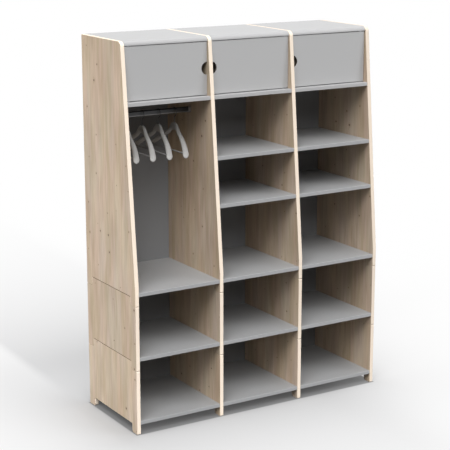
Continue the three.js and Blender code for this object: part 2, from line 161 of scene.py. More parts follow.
class WardrobeShapes(bpy.types.PropertyGroup):
    """Sizes that the CAD boxes don't give."""

    front_foot_width: length("Front foot", "Width of a side panel's front foot", 54)
    rear_foot_width: length("Rear foot", "Width of a side panel's rear foot", 63)
    foot_height: length("Foot height", "Height of a side panel's feet", 46.6)
    tab_gap: length("Tab gap", "Gap between a tab and the feet beside it", 0.5)
    foot_corner: length("Foot corner", "Radius of a foot's inner corner", 15)
    tab_corner: length("Tab corner", "Radius of a tab's upper corners", 5)
    tab_relief: length("Tab relief", "How far a tab stops short of the panel above it", 2)
    seam_corner: length("Seam corner", "Radius of the front and rear corners at a seam", 5)
    seam_arris: length("Seam edges", "Rounding of the edges along a seam", 0.6)
    slant_start: length("Slant start", "Height at which the uprights begin to lean back", 788)
    top_setback: length("Top setback", "How far the uprights lean back at the top", 114.8)
    top_corner: length("Top corner", "Radius of an upright's top front corner", 30)
    upright_arris: length("Upright edges", "Rounding of the uprights' long edges", 2.5)
    shelf_arris: length("Shelf edges", "Rounding of a shelf's front edges", 1.5)
    hidden_arris: length("Hidden edges", "Rounding of the boards' other edges", 0.4)
    top_nose: length("Top nose", "Radius of a top panel's upper front edge", 22)
    door_arris: length("Door edges", "Rounding of a door's edges", 1)
    hinge_edge: length("Hinge edge", "Radius of a door's front edge beside its pivots", 2.5)
    finger_notch: length("Finger notch", "Radius of the notch in a door's free edge", 32)
    rail_wall: length("Rail wall", "Thickness of the rail's tube", 1.5)
    socket_wall: length("Socket wall", "Thickness of a rail socket's wall", 2)
    socket_floor: length("Socket floor", "Thickness of a rail socket's floor", 2.5)


class HangerShapes(bpy.types.PropertyGroup):
    """Sizes of a hanger, from the centre of the round of its hook."""

    hook_radius: length("Hook", "Radius of the hook's round, along the wire's middle", 22)
    bend_radius: length("Bend", "Radius of the bend above the stem", 12)
    wire_radius: length("Wire", "Radius of the hook's wire", 2)
    neck_drop: length("Neck", "Depth of the neck below the hook's round", 57.3)
    hook_seat: length("Hook seat", "Depth of the stem in the neck", 15)
    collar_radius: length("Collar", "Radius of the collar round the stem", 4.5)
    collar_height: length("Collar height", "Height of the collar round the stem", 3.5)
    half_length: length("Half length", "Length of one arm of the shoulders", 205)
    sweep: length("Sweep", "How far the tips of the shoulders curve to one side", 50)
    tip_radius: length("Tip", "Radius of the round tips of the shoulders", 18)
    neck_half_thickness: length("Neck thickness", "Half the thickness at the neck", 9)
    tip_half_thickness: length("Tip thickness", "Half the thickness at the tips", 18.5)
    neck_half_height: length("Neck height", "Half the height at the neck", 20)
    arm_half_height: length("Arm height", "Half the height of the arms", 12)
    neck_half_length: length("Neck length", "Half the length of the neck's flat top", 36)
    neck_rise: length("Neck rise", "Height of the neck above the roots of the arms", 14)
    drop: length("Drop", "Fall of the arms from root to tip", 122)
    bar_radius: length("Bar", "Radius of the bar between the tips", 3.5)


class WardrobeFinishes(bpy.types.PropertyGroup):
    """Colours of the finishes."""

    pale_wood: colour("Pale wood", "Wood of the palest bands", (0.640, 0.530, 0.421))
    brown_wood: colour("Brown wood", "Wood of the darkest bands", (0.456, 0.361, 0.262))
    late_wood: colour("Late wood", "Darker wood of rings and streaks", (0.37, 0.262, 0.168))
    warm_tint: colour("Warm tint", "Tint of the warmest bands", (1, 0.965, 0.925))
    cool_tint: colour("Cool tint", "Tint of the greyest bands", (0.97, 0.982, 1.0))
    olive_tint: colour("Olive tint", "Tint of the greenest bands", (0.98, 0.99, 0.955))
    pink_tint: colour("Pink tint", "Tint of the reddest bands", (1, 0.975, 0.995))
    # Partly the darker end grain of the boards, partly painted shade in the seams between stacked
    # panels
    end_grain_and_seam_shade: colour("End grain", "Dark sawn faces in the seams", (0.17, 0.105, 0.06))
    edge_wood: colour("Edge grain", "Pale narrow faces of the boards", (0.95, 0.825, 0.69))
    knot: colour("Knot", "Middle of the knots", (0.085, 0.05, 0.03))
    door: colour("Doors", "Doors of the cabinets", (0.42, 0.42, 0.423))
    grey_board: colour("Grey boards", "Tops and floors of the cabinets", (0.406, 0.406, 0.409))
    # Painted shade: the shelves are a darker, cooler grey than the cabinet boards, for the shade
    # and warm bounce inside the bays
    shaded_shelf_grey: colour("Shelves", "Open shelves", (0.342, 0.346, 0.352))
    # Painted shade: the back panels are a darker, bluer grey for the shade deep in the bays
    back_board: colour("Back panels", "Backs of the bays", (0.22, 0.225, 0.233))
    # Painted shade on the rim of a finger notch
    notch_rim_shade: colour("Raw edge", "Dark sawn rim of a finger notch", (0.07, 0.062, 0.055))
    rail: colour("Rail", "Dark satin metal of the rail", (0.045, 0.045, 0.046))
    # Painted highlight along the rail's underside
    rail_underside_highlight: colour("Rail lip", "Paler metal along the rail's underside", (0.2, 0.2, 0.2))
    socket: colour("Socket", "Satin metal of the rail's sockets", (0.24, 0.225, 0.21))
    hook: colour("Hook", "Wire of the hooks", (0.05, 0.05, 0.052))
    pivot: colour("Pivot", "Turned steel of the pivots", (0.48, 0.48, 0.49))
    hanger: colour("Hanger", "Moulded shoulders of the hangers", (0.31, 0.305, 0.297))
    bar: colour("Trouser bar", "Bars of the hangers", (0.2, 0.2, 0.203))


class WardrobeStage(bpy.types.PropertyGroup):
    """Floor, light and camera."""

    floor: colour("Floor", "Pale floor", (0.49, 0.49, 0.495))
    floor_bounce: number("Floor bounce", "Share of light that the floor throws back", 0.16)
    floor_fade: length("Floor fade", "Distance over which the floor fades to white", 810)
    sky: number("Sky", "Strength of the light from all round", 0.04)
    key: number("Key light", "Strength of the sun high on the left", 2.3)
    front: number("Front light", "Strength of the sun high in front", 1.33)
    fill: number("Fill light", "Strength of the sun low on the right", 1.3)
    over: number("Top lamp", "Soft lamp overhead", 190, "POWER")
    left_fill: number("Left lamp", "Weak soft lamp low on the left", 88, "POWER")
    rear_fill: number("Rear lamp", "Weak soft lamp low behind", 110, "POWER")
    lens: number("Lens", "Focal length of the camera", 110.11, "CAMERA")


# Meshes

def corners_in(geometry):
    """The corners among the items that an operator made."""
    return [item for item in geometry if isinstance(item, bmesh.types.BMVert)]


def edges_in(geometry):
    """The edges among the items that an operator made."""
    return [item for item in geometry if isinstance(item, bmesh.types.BMEdge)]


def edges_at(corners):
    """The edges that meet at any of these corners, in the same order on each run."""
    return list(dict.fromkeys(edge for corner in corners for edge in corner.link_edges))


def sharp_among(edges):
    """The edges at which the surface turns sharply."""
    return [edge for edge in edges if edge.calc_face_angle(0) > SHARP_TURN]


def corners_of(edges):
    """The corners of a ring of edges, in the same order on each run."""
    return list(dict.fromkeys(corner for edge in edges for corner in edge.verts))


def turn_outwards(board):
    """Makes every face of a mesh point outwards."""
    bmesh.ops.recalc_face_normals(board, faces=board.faces[:])


def push_faces(board, faces, along):
    """Extrudes faces, and moves the new ones along a vector."""
    grown = bmesh.ops.extrude_face_region(board, geom=faces)
    bmesh.ops.translate(board, verts=corners_in(grown["geom"]), vec=along)


def edges_along(board, point, direction):
    """The edges of a board that lie on a line through a point."""
    def on_line(corner):
        return (corner.co - point).cross(direction).length < TOUCH
    return [edge for edge in board.edges if on_line(edge.verts[0]) and on_line(edge.verts[1])]


def round_edges(board, edges, radius, segments):
    """Rounds edges, set back as the first one's angle asks, and returns the new faces."""
    offset = radius * math.tan(edges[0].calc_face_angle() / 2)
    rounded = bmesh.ops.bevel(
        board, geom=edges, offset=offset, offset_type="OFFSET", segments=segments,
        profile=0.5, affect="EDGES", clamp_overlap=False, material=-1,
    )
    return rounded["faces"]


def ease_sharp_edges(board, radius, segments):
    """Rounds every edge that is still sharp, and marks the new faces as an arris."""
    arris = board.faces.layers.float.get("arris") or board.faces.layers.float.new("arris")
    for face in round_edges(board, sharp_among(board.edges), radius, segments):
        face[arris] = 1


def side_view_board(corners, start, end):
    """A board along X, from corners (y, z, radius) of its side view."""
    board = bmesh.new()
    face = board.faces.new([board.verts.new((start, y, z)) for y, z, _ in corners])
    push_faces(board, [face], RIGHT * (end - start))
    turn_outwards(board)
    for y, z, radius in corners:
        if radius:
            edges = edges_along(board, Vector((start, y, z)), RIGHT)
            round_edges(board, edges, radius, CORNER_SEGMENTS)
    return board


def link_object(name, data):
    """Makes an object of a mesh, a lamp or a camera, and puts it in the scene."""
    made = bpy.data.objects.new(name, data)
    bpy.context.scene.collection.objects.link(made)
    return made


def new_piece(board, node, name, finish, arris=0):
    """Makes an object of a mesh in the place of a CAD node, and rides it on the node's body.

    Where arris is given, edges that carry a bevel weight are rounded by up to that radius.
    """
    bmesh.ops.remove_doubles(board, verts=board.verts[:], dist=TOUCH)
    turn_outwards(board)
    mesh = bpy.data.meshes.new(name)
    board.to_mesh(mesh)
    board.free()
    mesh.materials.append(finish)
    mesh.shade_smooth()
    if not arris:
        mesh.set_sharp_from_angle(angle=SMOOTH_TURN)
    piece = link_object(name, mesh)
    if arris:
        rounded = piece.modifiers.new("rounded_edges", "BEVEL")
        rounded.limit_method = "WEIGHT"
        rounded.width = arris
        rounded.segments = ARRIS_SEGMENTS
        rounded.use_clamp_overlap = False
    weighted = piece.modifiers.new("weighted_normals", "WEIGHTED_NORMAL")
    weighted.keep_sharp = True
    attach(piece, BODY_OF[node])
    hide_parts(node)


def stepped_edge(ends, step, end_z, step_z, shapes):
    """Six corners (y, z, radius) of a board's edge, whose middle is stepped in or out."""
    radii = (shapes.seam_corner, shapes.foot_corner, shapes.tab_corner)
    heights = (end_z, end_z, step_z)
    first, last = (
        list(zip((end, start, start), heights, radii)) for end, start in zip(ends, step)
    )
    return first + last[::-1]


def side_panel_corners(node, level, shapes):
    """The side view of a side panel: two feet, and above them a tab or a slanted front."""
    low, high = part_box(node)
    front_foot = low.y + shapes.front_foot_width
    rear_foot = high.y - shapes.rear_foot_width
    gap_top = low.z + shapes.foot_height
    feet = stepped_edge((low.y, high.y), (front_foot, rear_foot), low.z, gap_top, shapes)
    if level == "upper":
        return feet + [
            (high.y, high.z, 0),
            (low.y + shapes.top_setback, high.z, shapes.top_corner),
            (low.y, shapes.slant_start, 0),
        ]
    notch_floor = high.z - shapes.foot_height
    tab_top = high.z - shapes.tab_relief
    tab = (rear_foot - shapes.tab_gap, front_foot + shapes.tab_gap)
    return feet + stepped_edge((high.y, low.y), tab, notch_floor, tab_top, shapes)


def is_at_seam(point, low, high, level, shapes):
    """Whether a point of a side panel is level with the joint to the panel below or above it."""
    under = level != "lower" and point.z < low.z + shapes.foot_height + TOUCH
    over = level != "upper" and point.z > high.z - shapes.foot_height - TOUCH
    return under or over


def side_panel(node, level, shapes):
    """One of the stacked wooden boards of an upright.

    Its mesh carries which faces are narrow and which lie in a seam, and each edge's rounding.
    """
    low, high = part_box(node)
    board = side_view_board(side_panel_corners(node, level, shapes), low.x, high.x)
    narrow = board.faces.layers.float.new("narrow_face")
    seam = board.faces.layers.float.new("seam_face")
    for face in board.faces:
        if abs(face.normal.x) < FACING:
            face[narrow] = 1
            at_seam = is_at_seam(face.calc_center_median(), low, high, level, shapes)
            if at_seam and abs(face.normal.z) > SEAM_FACING:
                face[seam] = 1
    rounding = board.edges.layers.float.new("bevel_weight_edge")
    for edge in board.edges:
        if edge.calc_face_angle() > SHARP_TURN:
            middle = (edge.verts[0].co + edge.verts[1].co) / 2
            inside = low.y + shapes.seam_corner < middle.y < high.y - shapes.seam_corner
            fine = inside and is_at_seam(middle, low, high, level, shapes)
            edge[rounding] = shapes.seam_arris / shapes.upright_arris if fine else 1
    return board


def cross_board(node, shapes, upper_front_radius=0, lower_front_radius=0):
    """A board across a bay, rounded along its front where a radius is given."""
    low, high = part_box(node)
    corners = [
        (low.y, low.z, lower_front_radius),
        (high.y, low.z, 0),
        (high.y, high.z, 0),
        (low.y, high.z, upper_front_radius),
    ]
    board = side_view_board(corners, low.x, high.x)
    ease_sharp_edges(board, shapes.hidden_arris, FINE_ARRIS_SEGMENTS)
    return board


def door_board(node, hinged_left, shapes):
    """A door with a half-round finger notch in its free edge."""
    notch_tolerance = 1.01
    low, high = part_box(node)
    hinge_x, free_x = (low.x, high.x) if hinged_left else (high.x, low.x)
    middle = (low.z + high.z) / 2
    board = bmesh.new()
    start = board.verts.new((free_x, low.y, middle - shapes.finger_notch))
    spun = bmesh.ops.spin(
        board, geom=[start], cent=(free_x, low.y, middle), axis=REARWARD,
        angle=math.pi if hinged_left else -math.pi, steps=NOTCH_SEGMENTS, use_merge=False,
    )
    outer = ((free_x, high.z), (hinge_x, high.z), (hinge_x, low.z), (free_x, low.z))
    chain = corners_in(spun["geom_last"])
    chain += [board.verts.new((x, low.y, z)) for x, z in outer]
    chain.append(start)
    for first, second in zip(chain, chain[1:]):
        board.edges.new((first, second))
    faces = bmesh.ops.contextual_create(board, geom=board.edges[:])["faces"]
    push_faces(board, faces, REARWARD * (high.y - low.y))
    turn_outwards(board)
    rim = board.faces.layers.float.new("notch_rim")
    notch_centre = Vector((free_x, (low.y + high.y) / 2, middle))
    for face in board.faces:
        off_centre = (face.calc_center_median() - notch_centre).length
        if abs(face.normal.y) < FACING and off_centre < notch_tolerance * shapes.finger_notch:
            face[rim] = 1
    hinge_edges = edges_along(board, Vector((hinge_x, low.y, low.z)), UP)
    round_edges(board, hinge_edges, shapes.hinge_edge, CORNER_SEGMENTS)
    ease_sharp_edges(board, shapes.door_arris, ARRIS_SEGMENTS)
    return board


def oval_outline(board, centre, width, height):
    """Edges of an upright oval across X: a half round above and below two straight sides."""
    radius = width / 2
    straight = (height / 2 - radius) * UP
    starts = []
    ends = []
    for way in (1, -1):
        start = board.verts.new(centre + way * (straight + REARWARD * radius))
        spun = bmesh.ops.spin(
            board, geom=[start], cent=centre + way * straight, axis=RIGHT,
            angle=math.pi, steps=OVAL_SEGMENTS,
        )
        starts.append(start)
        ends += corners_in(spun["geom_last"])
    for end, start in zip(ends, reversed(starts)):
        board.edges.new((end, start))


def rail_tube(node, shapes):
    """The oval tube of the clothes rail."""
    low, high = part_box(node)
    centre = Vector((low.x, (low.y + high.y) / 2, (low.z + high.z) / 2))
    width, height = high.y - low.y, high.z - low.z
    wall = 2 * shapes.rail_wall
    tube = bmesh.new()
    oval_outline(tube, centre, width, height)
    oval_outline(tube, centre, width - wall, height - wall)
    end = bmesh.ops.bridge_loops(tube, edges=tube.edges[:])["faces"]
    push_faces(tube, end, RIGHT * (high.x - low.x))
    turn_outwards(tube)
    return tube


def rail_socket(node, opens_right, shapes):
    """An oval cup that holds one end of the rail, with its floor against the upright."""
    low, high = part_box(node)
    floor_x, mouth_x = (low.x, high.x) if opens_right else (high.x, low.x)
    into_room = RIGHT if opens_right else -RIGHT
    centre = Vector((floor_x, (low.y + high.y) / 2, (low.z + high.z) / 2))
    cup = bmesh.new()
    oval_outline(cup, centre, high.y - low.y, high.z - low.z)
    base = bmesh.ops.contextual_create(cup, geom=cup.edges[:])["faces"]
    push_faces(cup, base, into_room * (high.x - low.x))
    turn_outwards(cup)
    mouth = [face for face in cup.faces if abs(face.calc_center_median().x - mouth_x) < TOUCH]
    bmesh.ops.inset_region(cup, faces=mouth, thickness=shapes.socket_wall, use_even_offset=True)
    depth = high.x - low.x - shapes.socket_floor
    push_faces(cup, mouth, -into_room * depth)
    ease_sharp_edges(cup, shapes.hidden_arris, FINE_ARRIS_SEGMENTS)
    return cup


def sweep_straight(wire, ring, along):
    """Extrudes a ring of edges along a vector, and returns the ring it ends in."""
    grown = bmesh.ops.extrude_edge_only(wire, edges=ring)["geom"]
    moved = corners_in(grown)
    bmesh.ops.translate(wire, verts=moved, vec=along)
    ends = set(moved)
    return [edge for edge in edges_in(grown) if set(edge.verts) <= ends]


def sweep_round(wire, ring, centre, axis, angle, steps):
    """Spins a ring of edges round a centre, and returns the ring it ends in."""
    whole = ring + corners_of(ring)
    spun = bmesh.ops.spin(wire, geom=whole, cent=centre, axis=axis, angle=angle, steps=steps)
    return edges_in(spun["geom_last"])


def close_ring(wire, ring):
    """Closes the end of a tube with one face."""
    bmesh.ops.contextual_create(wire, geom=ring)


def hook_origin(hanger, shapes):
    """The centre of the round of a hanger's hook."""
    low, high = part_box(f"hanger_{hanger}_hook")
    top = high.z - shapes.wire_radius - shapes.hook_radius
    middle = (low.y + high.y) / 2
    return Vector(((low.x + high.x) / 2, middle, top))


def hook_wire(hanger, shapes):
    """A bent wire hook, with a collar where its stem enters the neck."""
    tip_below_level = math.radians(20)
    end_rounding = 0.8 * shapes.wire_radius
    collar_top_radius = 0.8 * shapes.collar_radius
    collar_rounding = shapes.collar_height / 5
    origin = hook_origin(hanger, shapes)
    reach = shapes.hook_radius + shapes.bend_radius
    bend = math.acos(shapes.bend_radius / reach)
    turn = math.pi + bend + tip_below_level
    stem_bottom = -shapes.neck_drop - shapes.hook_seat
    stem_top = -reach * math.sin(bend)
    bend_centre = origin + UP * stem_top - REARWARD * shapes.bend_radius
    wire = bmesh.new()
    circle = bmesh.ops.create_circle(
        wire, cap_ends=False, radius=shapes.wire_radius, segments=WIRE_SEGMENTS,
        matrix=Matrix.Translation(origin + UP * stem_bottom),
    )
    first = edges_at(circle["verts"])
    ring = sweep_straight(wire, first, UP * (stem_top - stem_bottom))
    ring = sweep_round(wire, ring, bend_centre, RIGHT, bend, BEND_SEGMENTS)
    ring = sweep_round(wire, ring, origin, -RIGHT, turn, ROUND_SEGMENTS)
    close_ring(wire, first)
    close_ring(wire, ring)
    turn_outwards(wire)
    round_edges(wire, sharp_among(wire.edges), end_rounding, ARRIS_SEGMENTS)
    collar_centre = origin - UP * (shapes.neck_drop - shapes.collar_height / 2)
    collar = bmesh.ops.create_cone(
        wire, cap_ends=True, segments=BAR_SEGMENTS, radius1=shapes.collar_radius,
        radius2=collar_top_radius, depth=shapes.collar_height,
        matrix=Matrix.Translation(collar_centre),
    )
    rims = sharp_among(edges_at(collar["verts"]))
    round_edges(wire, rims, collar_rounding, FINE_ARRIS_SEGMENTS)
    return wire


def shoulder_section(y, shapes):
    """Centre and half sizes of the shoulders at a signed distance from the neck."""
    neck_steepness = 4
    straight_fall = 0.85
    curved_fall = 0.15
    least_tip = 0.03
    distance = abs(y)
    share = distance / shapes.half_length
    neck = math.exp(-((distance / shapes.neck_half_length) ** neck_steepness))
    into_tip = max(0, distance - shapes.half_length + shapes.tip_radius) / shapes.tip_radius
    tip_round = math.sqrt(max(least_tip, 1 - into_tip ** 2))
    thickness = shapes.neck_half_thickness * (1 - share) + shapes.tip_half_thickness * share
    height = shapes.arm_half_height * (1 - neck) + shapes.neck_half_height * neck
    fall = shapes.drop * (straight_fall * share + curved_fall * share ** 3)
    x = -shapes.sweep * share ** 2
    z = -shapes.neck_drop - (shapes.neck_rise + fall) * (1 - neck) - height
    return x, z, thickness * tip_round, height * tip_round


def hanger_shoulders(hanger, shapes):
    """The contoured shoulders of a hanger, swept from ring to ring between two round tips."""
    origin = hook_origin(hanger, shapes)
    body = bmesh.new()
    circle = bmesh.ops.create_circle(
        body, cap_ends=False, radius=1, segments=SHOULDER_SEGMENTS, matrix=UPRIGHT_TO_LYING
    )
    first = edges_at(circle["verts"])
    ring = first
    centre = Vector((0, 0, 0))
    half_sizes = Vector((1, 1, 1))
    for station in range(SHOULDER_STATIONS + 1):
        angle = math.pi * (station / SHOULDER_STATIONS - 0.5)
        y = shapes.half_length * math.sin(angle)
        x, z, thickness, height = shoulder_section(y, shapes)
        if station:
            ring = sweep_straight(body, ring, (0, 0, 0))
        corners = corners_of(ring)
        scale = (thickness / half_sizes.x, 1, height / half_sizes.z)
        bmesh.ops.scale(body, verts=corners, vec=scale, space=Matrix.Translation(-centre))
        place = origin + Vector((x, y, z))
        bmesh.ops.translate(body, verts=corners, vec=place - centre)
        centre = place
        half_sizes = Vector((thickness, 1, height))
    close_ring(body, first)
    close_ring(body, ring)
    return body


def trouser_bar(node, shapes):
    """The round bar between the tips of the shoulders."""
    rim_rounding = shapes.bar_radius / 3
    low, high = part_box(node)
    bar = bmesh.new()
    bmesh.ops.create_cone(
        bar, cap_ends=True, segments=BAR_SEGMENTS, radius1=shapes.bar_radius,
        radius2=shapes.bar_radius, depth=high.y - low.y,
        matrix=Matrix.Translation((low + high) / 2) @ UPRIGHT_TO_LYING,
    )
    round_edges(bar, sharp_among(bar.edges), rim_rounding, ARRIS_SEGMENTS)
    return bar


# Finishes

class Value:
    """A socket in a shader. An expression on it adds Math nodes."""

    def __init__(self, shade, node, socket):
        self.shade = shade
        self.node = node
        self.socket = socket

    def out(self, name):
        """Another output of the same node."""
        return Value(self.shade, self.node, self.node.outputs[name])

    def math(self, operation, *others):
        """The result of a Math node on this value and others."""
        return self.shade.math(operation, self, *others)

    def __add__(self, other):
        return self.math("ADD", other)

    def __sub__(self, other):
        return self.math("SUBTRACT", other)

    def __rsub__(self, other):
        return self.shade.math("SUBTRACT", other, self)

    def __mul__(self, other):
        return self.math("MULTIPLY", other)

    def __truediv__(self, other):
        return self.math("DIVIDE", other)

    def __pow__(self, other):
        return self.math("POWER", other)

    __radd__ = __add__
    __rmul__ = __mul__


class Shade:
    """The nodes of a material or of the world."""

    def __init__(self, owner):
        owner.use_nodes = True
        self.owner = owner
        self.tree = owner.node_tree
        self.tree.nodes.clear()

    def add(self, kind, settings=None, inputs=None, output=0):
        """Adds a node, sets it up, fills or links its inputs and returns one of its outputs."""
        node = self.tree.nodes.new("ShaderNode" + kind)
        for name, value in (settings or {}).items():
            setattr(node, name, value)
        for name, value in (inputs or {}).items():
            if isinstance(value, Value):
                self.tree.links.new(value.socket, node.inputs[name])
            else:
                node.inputs[name].default_value = value
        return Value(self, node, node.outputs[output] if node.outputs else None)

    def math(self, operation, *operands):
        """The result of a Math node."""
        return self.add("Math", {"operation": operation}, dict(enumerate(operands)))

    def position(self):
        """The point of the object that is shaded."""
        return self.add("TexCoord", output="Object")

    def place(self):
        """The shaded point's X, Y and Z."""
        return self.add("SeparateXYZ", {}, {0: self.position()})

    def noise(self, scale=1, detail=2, vector=None):
        """Soft noise of about 0 to 1, with so many features in a metre of the shaded point."""
        inputs = {"Vector": vector or self.position(), "Scale": scale, "Detail": detail}
        return self.add("TexNoise", {}, inputs)

    def grain(self, scale, place=(0, 0, 0), detail=3):
        """Noise with its own number of features in a metre of X, of Y and of Z."""
        inputs = {"Vector": self.position(), "Location": place, "Scale": scale}
        return self.noise(1, detail, self.add("Mapping", {"vector_type": "POINT"}, inputs))

    def step(self, value, low, high):
        """A smooth step from 0 at low to 1 at high."""
        settings = {"interpolation_type": "SMOOTHSTEP", "clamp": True}
        return self.add("MapRange", settings, {0: value, 1: low, 2: high})

    def mix(self, factor, first, second, blend="MIX"):
        """Mixes two colours."""
        first, second = (
            tint if isinstance(tint, Value) else (*tint, 1) for tint in (first, second)
        )
        settings = {"data_type": "RGBA", "blend_type": blend}
        return self.add("Mix", settings, {0: factor, 6: first, 7: second}, output=2)

    def scaled(self, tint, factor):
        """A colour made lighter or darker."""
        settings = {"operation": "SCALE"}
        return self.add("VectorMath", settings, {0: tint, "Scale": factor})

    def attribute(self, name):
        """A number that the mesh carries."""
        return self.add("Attribute", {"attribute_name": name}, output="Fac")

    def bump(self, height, distance, strength):
        """The normal of a surface with a fine relief."""
        inputs = {"Strength": strength, "Distance": distance, "Height": height}
        return self.add("Bump", {}, inputs, output="Normal")

    def surface(self, **inputs):
        """Ends a material in a Principled shader, and returns it."""
        shader = self.add("BsdfPrincipled", {}, inputs)
        self.add("OutputMaterial", {}, {"Surface": shader})
        return self.owner


def spruce(name, middle_x, seed, tone, edge_painted_light, finishes):
    """Pale knotty softwood, glued up from upright staves and varnished matt."""
    narrow_cover = 0.88
    halo_cover = 0.35
    knot_cover = 0.85
    knot_depth = 0.8
    shade = Shade(bpy.data.materials.new(name))
    place = shade.place()
    within, lots = staves(shade, place, seed)
    knot, halo = knots(shade, place, seed)
    fibre, late = growth_rings(shade, place.out("X") - middle_x, within, lots, halo, seed)
    wood = banded_wood(shade, place, lots, halo, fibre, late, seed, finishes)
    # Painted light: the wood is scaled by the painted light of its level and its upright
    wood = shade.scaled(wood, tone)
    narrow = shade.attribute("narrow_face")
    edge = shade.scaled(finishes.edge_wood, narrow_face_tone(shade, place, fibre, edge_painted_light))
    wood = shade.mix(narrow_cover * narrow, wood, edge)
    broad_face = 1 - narrow
    ringed_halo = halo_cover * broad_face * halo * (0.6 + 0.4 * fibre)
    wood = shade.mix(ringed_halo, wood, finishes.late_wood)
    wood = shade.mix(knot_cover * knot * broad_face, wood, finishes.knot)
    height = 0.5 * fibre - 0.5 * late - knot_depth * knot
    return shade.surface(**{
        # Faces in a seam take the dark end grain colour, which also paints the shade in the seam
        "Base Color": shade.mix(shade.attribute("seam_face"), wood, finishes.end_grain_and_seam_shade),
        "Roughness": 0.5 + 0.12 * fibre - 0.06 * late,
        "Specular IOR Level": 0.3,
        "Normal": shade.bump(height, 0.15 * MM, 0.6),
    })


def narrow_face_tone(shade, place, fibre, edge_painted_light):
    """The tone of an upright's narrow faces, which are a little paler near the floor: painted light
    bounced up from the floor.
    """
    painted_bounce_lift = 0.1
    lift_bottom, lift_top = 0.1, 0.7
    # Painted light: paler towards the floor
    painted_bounce = 1 + painted_bounce_lift * (1 - shade.step(place.out("Z"), lift_bottom, lift_top))
    return edge_painted_light * (0.98 + 0.04 * fibre) * painted_bounce


def staves(shade, place, seed):
    """The distance from the middle line of each stave, and the stave's random numbers."""
    stave_width = 92 * MM
    shift = 0.37 + 0.61 * seed
    stave_place = (place.out("Y") + shift) / stave_width
    stave = stave_place.math("FLOOR")
    within = (stave_place - stave - 0.5) * stave_width
    stave_seed = shade.add("CombineXYZ", {}, {0: stave, 1: 3.1 * seed, 2: 0.5})
    random = shade.add("TexWhiteNoise", {"noise_dimensions": "3D"}, {"Vector": stave_seed})
    return within, shade.add("SeparateColor", {}, {0: random.out("Color")})


def growth_rings(shade, depth_in_board, within, lots, halo, seed):
    """The fine fibre, and the dark wood of rings about a pith that drifts along the stave."""
    ring_width = 4.2 * MM
    drift_range = 50 * MM
    pith_range = 120 * MM
    least_depth = 20 * MM
    depth_range = 80 * MM
    knot_swell = 6 * MM
    late_narrowness = 2.5
    drift = (shade.grain((0, 0, 1.6), (0, 0, 2.3 * seed), 1) - 0.5) * drift_range
    across = within - (lots.out("Red") - 0.5) * pith_range - drift
    depth = depth_in_board + least_depth + depth_range * lots.out("Green")
    radius = (across * across + depth * depth).math("SQRT") + knot_swell * halo
    fibre = shade.grain((260, 260, 7), (0, 0, seed))
    turns = radius / ring_width + 0.5 * fibre
    return fibre, turns.math("FRACT") ** late_narrowness


def banded_wood(shade, place, lots, halo, fibre, late, seed, finishes):
    """Wood in broad soft bands, warmer and greyer, with rings and thin streaks in places."""
    sway_range = 60 * MM
    knot_turn = 10 * MM
    late_cover = 0.22
    streak_cover = 0.4
    sway = (shade.grain((0, 6, 2.6), (0, seed, seed)) - 0.5) * sway_range
    lane = place.out("Y") + sway + knot_turn * halo

    def along_lane(across, up, seed_step, detail):
        """Noise with so many features in a metre across and up the lane."""
        vector = {0: lane * across, 1: place.out("Z") * up, 2: seed_step * seed}
        return shade.noise(1, detail, shade.add("CombineXYZ", {}, vector))

    broad = along_lane(8, 1.4, 1.3, 1)
    band = 0.5 * broad + 0.5 * along_lane(27, 2.6, 1.7, 2)
    warmth = along_lane(13, 1.9, 4.3, 1)
    pinkness = along_lane(19, 2.8, 6.1, 1)
    streak = shade.step(along_lane(95, 6, 2.9, 2), 0.55, 0.74) * shade.step(broad, 0.42, 0.62)
    stripe = along_lane(62, 4, 5.1, 2)
    cloud = shade.grain((18, 18, 4), (0, 0, 3 * seed))

    coarse = 2.4 * (band - 0.5) + 1.2 * (cloud - 0.5)
    fine = 1.1 * (stripe - 0.5) + 0.9 * (fibre - 0.5)
    paleness = shade.step(0.47 + coarse + fine, -0.25, 1.15)
    wood = shade.mix(paleness, finishes.brown_wood, finishes.pale_wood)
    wood = shade.mix(late_cover * late, wood, finishes.late_wood)
    warmth = shade.step(0.8 * warmth + 0.2 * lots.out("Blue"), 0.34, 0.64)
    tint = shade.mix(warmth, finishes.cool_tint, finishes.warm_tint)
    wood = shade.mix(1, wood, tint, "MULTIPLY")
    pinkness = shade.step(pinkness, 0.36, 0.64)
    tint = shade.mix(pinkness, finishes.olive_tint, finishes.pink_tint)
    wood = shade.mix(1, wood, tint, "MULTIPLY")
    return shade.mix(streak_cover * streak, wood, finishes.late_wood)


def knots(shade, place, seed):
    """Small dark knots, at most one in each cell of a grid, and the halo round each."""
    cell_size = 110 * MM
    share_with_knot = 0.38
    least_size, size_range = 0.019, 0.042
    knot_inner, knot_outer = 0.7, 1.25
    halo_inner, halo_outer = 1, 3.8
    across = place.out("Y") / cell_size + 0.7 * seed
    up = place.out("Z") / cell_size + 0.9 * seed
    vector = shade.add("CombineXYZ", {}, {0: across, 1: up})
    cell = shade.add("TexVoronoi", {"voronoi_dimensions": "2D"}, {"Vector": vector, "Scale": 1})
    lots = shade.add("SeparateColor", {}, {0: cell.out("Color")})
    present = lots.out("Red").math("LESS_THAN", share_with_knot)
    size = least_size + size_range * lots.out("Green") * lots.out("Blue")
    relative = cell.out("Distance") / size
    knot = present * (1 - shade.step(relative, knot_inner, knot_outer))
    halo = present * (1 - shade.step(relative, halo_inner, halo_outer))
    return knot, halo


